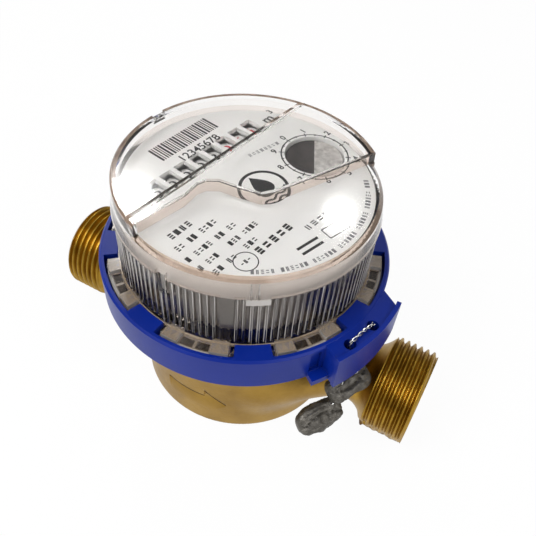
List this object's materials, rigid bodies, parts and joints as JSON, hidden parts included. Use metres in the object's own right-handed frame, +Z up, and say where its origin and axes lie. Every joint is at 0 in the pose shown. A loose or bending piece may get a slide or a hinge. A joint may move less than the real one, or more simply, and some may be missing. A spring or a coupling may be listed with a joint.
{
  "type": "water meter",
  "caption": "Single-jet dry-dial water meter: brass body with threaded pipe ends, blue clamp ring, clear ribbed cap over number drums and a turning indicator, wire seals.",
  "frame": {"origin": "centre of the flat base of the cup, on the meter's vertical axis", "axes": "+X along the pipe in the flow direction, towards the outlet; +Z up, towards the dial"},
  "size_m": [0.11, 0.074, 0.0692],
  "materials": {
    "cast_brass": "sand-cast brass, satin, with turned threads",
    "blue_plastic": "moulded, semi-gloss",
    "dark_blue_plastic": "moulded",
    "clear_plastic": "clear, polished",
    "white_plastic": "printed white",
    "white_drum": "white with black figures",
    "red_drum": "white with red figures",
    "black_plastic": "half black, half silver foil",
    "natural_plastic": "natural moulding",
    "grey_plastic": "moulded grey",
    "gear_plastic": "natural acetal",
    "steel": "drawn, bright",
    "jewel": "polished",
    "magnet": "ground ferrite",
    "rubber": "moulded",
    "wire": "bright twisted wire",
    "lead": "crimped lead, dull"
  },
  "bodies": {
    "meter": {"meter_body": "cast_brass", "plate_keeper": "cast_brass", "inlet_strainer": "natural_plastic", "pressure_plate": "grey_plastic", "gear_bridge": "grey_plastic", "lower_pivot_pin": "steel", "upper_pivot_pin": "steel", "drum_shaft": "steel", "transfer_shaft": "steel", "magnetic_shield": "steel", "plate_seal_ring": "rubber", "register_housing": "dark_blue_plastic", "clamp_ring": "blue_plastic", "clear_cap": "clear_plastic", "dial_plate": "white_plastic", "seal_wire": "wire", "front_lead_seal": "lead", "rear_lead_seal": "lead"},
    "impeller": {"impeller": "natural_plastic", "lower_bush": "jewel", "upper_bush": "jewel", "impeller_magnet": "magnet"},
    "follower": {"follower_magnet": "magnet", "follower_pinion": "natural_plastic"},
    "first_wheel": {"first_wheel": "gear_plastic"},
    "second_wheel": {"second_wheel": "gear_plastic"},
    "indicator": {"indicator_arbor": "natural_plastic", "indicator_disc": "black_plastic"},
    "idler": {"idler_wheel": "gear_plastic"},
    "worm": {"worm_arbor": "natural_plastic"},
    "number_drum_1": {"number_drum_1": "white_drum"},
    "number_drum_2": {"number_drum_2": "white_drum"},
    "number_drum_3": {"number_drum_3": "white_drum"},
    "number_drum_4": {"number_drum_4": "white_drum"},
    "number_drum_5": {"number_drum_5": "white_drum"},
    "number_drum_6": {"number_drum_6": "red_drum"},
    "number_drum_7": {"number_drum_7": "red_drum"},
    "number_drum_8": {"number_drum_8": "red_drum"},
    "transfer_pinion_1": {"transfer_pinion_1": "natural_plastic"},
    "transfer_pinion_2": {"transfer_pinion_2": "natural_plastic"},
    "transfer_pinion_3": {"transfer_pinion_3": "natural_plastic"},
    "transfer_pinion_4": {"transfer_pinion_4": "natural_plastic"},
    "transfer_pinion_5": {"transfer_pinion_5": "natural_plastic"},
    "transfer_pinion_6": {"transfer_pinion_6": "natural_plastic"},
    "transfer_pinion_7": {"transfer_pinion_7": "natural_plastic"}
  },
  "joints": [
    {"name": "impeller_spin", "type": "hinge", "parent": "meter", "child": "impeller", "pos_m": [0, 0, 0.0148], "axis": [0, 0, 1], "continuous": true},
    {"name": "follower_spin", "type": "hinge", "parent": "meter", "child": "follower", "pos_m": [0, 0, 0.0426], "axis": [0, 0, 1], "continuous": true},
    {"name": "first_wheel_spin", "type": "hinge", "parent": "meter", "child": "first_wheel", "pos_m": [0.01237, -0.00172, 0.046], "axis": [0, 0, 1], "continuous": true},
    {"name": "second_wheel_spin", "type": "hinge", "parent": "meter", "child": "second_wheel", "pos_m": [0.01394, 0.01017, 0.048], "axis": [0, 0, 1], "continuous": true},
    {"name": "indicator_spin", "type": "hinge", "parent": "meter", "child": "indicator", "pos_m": [0.00835, 0.018, 0.053], "axis": [0, 0, 1], "continuous": true},
    {"name": "idler_spin", "type": "hinge", "parent": "meter", "child": "idler", "pos_m": [0.00048, 0.01657, 0.0515], "axis": [0, 0, 1], "continuous": true},
    {"name": "worm_spin", "type": "hinge", "parent": "meter", "child": "worm", "pos_m": [-0.00509, 0.02232, 0.0578], "axis": [0, 0, 1], "continuous": true},
    {"name": "drum_1_spin", "type": "hinge", "parent": "meter", "child": "number_drum_1", "pos_m": [-0.0164, -0.01305, 0.0578], "axis": [0.1788, 0.9839, 0], "continuous": true},
    {"name": "drum_2_spin", "type": "hinge", "parent": "meter", "child": "number_drum_2", "pos_m": [-0.01555, -0.00838, 0.0578], "axis": [0.1788, 0.9839, 0], "continuous": true},
    {"name": "drum_3_spin", "type": "hinge", "parent": "meter", "child": "number_drum_3", "pos_m": [-0.0147, -0.00371, 0.0578], "axis": [0.1788, 0.9839, 0], "continuous": true},
    {"name": "drum_4_spin", "type": "hinge", "parent": "meter", "child": "number_drum_4", "pos_m": [-0.01385, 0.00097, 0.0578], "axis": [0.1788, 0.9839, 0], "continuous": true},
    {"name": "drum_5_spin", "type": "hinge", "parent": "meter", "child": "number_drum_5", "pos_m": [-0.013, 0.00564, 0.0578], "axis": [0.1788, 0.9839, 0], "continuous": true},
    {"name": "drum_6_spin", "type": "hinge", "parent": "meter", "child": "number_drum_6", "pos_m": [-0.01215, 0.01031, 0.0578], "axis": [0.1788, 0.9839, 0], "continuous": true},
    {"name": "drum_7_spin", "type": "hinge", "parent": "meter", "child": "number_drum_7", "pos_m": [-0.0113, 0.01499, 0.0578], "axis": [0.1788, 0.9839, 0], "continuous": true},
    {"name": "drum_8_spin", "type": "hinge", "parent": "meter", "child": "number_drum_8", "pos_m": [-0.01045, 0.01966, 0.0578], "axis": [0.1788, 0.9839, 0], "continuous": true},
    {"name": "transfer_1_spin", "type": "hinge", "parent": "meter", "child": "transfer_pinion_1", "pos_m": [-0.01889, -0.01031, 0.05271], "axis": [0.1788, 0.9839, 0], "continuous": true},
    {"name": "transfer_2_spin", "type": "hinge", "parent": "meter", "child": "transfer_pinion_2", "pos_m": [-0.01804, -0.00564, 0.05271], "axis": [0.1788, 0.9839, 0], "continuous": true},
    {"name": "transfer_3_spin", "type": "hinge", "parent": "meter", "child": "transfer_pinion_3", "pos_m": [-0.01719, -0.00097, 0.05271], "axis": [0.1788, 0.9839, 0], "continuous": true},
    {"name": "transfer_4_spin", "type": "hinge", "parent": "meter", "child": "transfer_pinion_4", "pos_m": [-0.01634, 0.00371, 0.05271], "axis": [0.1788, 0.9839, 0], "continuous": true},
    {"name": "transfer_5_spin", "type": "hinge", "parent": "meter", "child": "transfer_pinion_5", "pos_m": [-0.01549, 0.00838, 0.05271], "axis": [0.1788, 0.9839, 0], "continuous": true},
    {"name": "transfer_6_spin", "type": "hinge", "parent": "meter", "child": "transfer_pinion_6", "pos_m": [-0.01464, 0.01305, 0.05271], "axis": [0.1788, 0.9839, 0], "continuous": true},
    {"name": "transfer_7_spin", "type": "hinge", "parent": "meter", "child": "transfer_pinion_7", "pos_m": [-0.01379, 0.01773, 0.05271], "axis": [0.1788, 0.9839, 0], "continuous": true}
  ],
  "couplings": [
    {"joint": "follower_spin", "follows": "impeller_spin", "ratio": 1},
    {"joint": "first_wheel_spin", "follows": "impeller_spin", "ratio": -0.25},
    {"joint": "second_wheel_spin", "follows": "impeller_spin", "ratio": 0.083333},
    {"joint": "indicator_spin", "follows": "impeller_spin", "ratio": -0.027778},
    {"joint": "idler_spin", "follows": "impeller_spin", "ratio": 0.027778},
    {"joint": "worm_spin", "follows": "impeller_spin", "ratio": -0.027778},
    {"joint": "drum_8_spin", "follows": "impeller_spin", "ratio": -0.0027778},
    {"joint": "transfer_1_spin", "follows": "drum_1_spin", "ratio": -2.5},
    {"joint": "transfer_2_spin", "follows": "drum_2_spin", "ratio": -2.5},
    {"joint": "transfer_3_spin", "follows": "drum_3_spin", "ratio": -2.5},
    {"joint": "transfer_4_spin", "follows": "drum_4_spin", "ratio": -2.5},
    {"joint": "transfer_5_spin", "follows": "drum_5_spin", "ratio": -2.5},
    {"joint": "transfer_6_spin", "follows": "drum_6_spin", "ratio": -2.5},
    {"joint": "transfer_7_spin", "follows": "drum_7_spin", "ratio": -2.5}
  ]
}
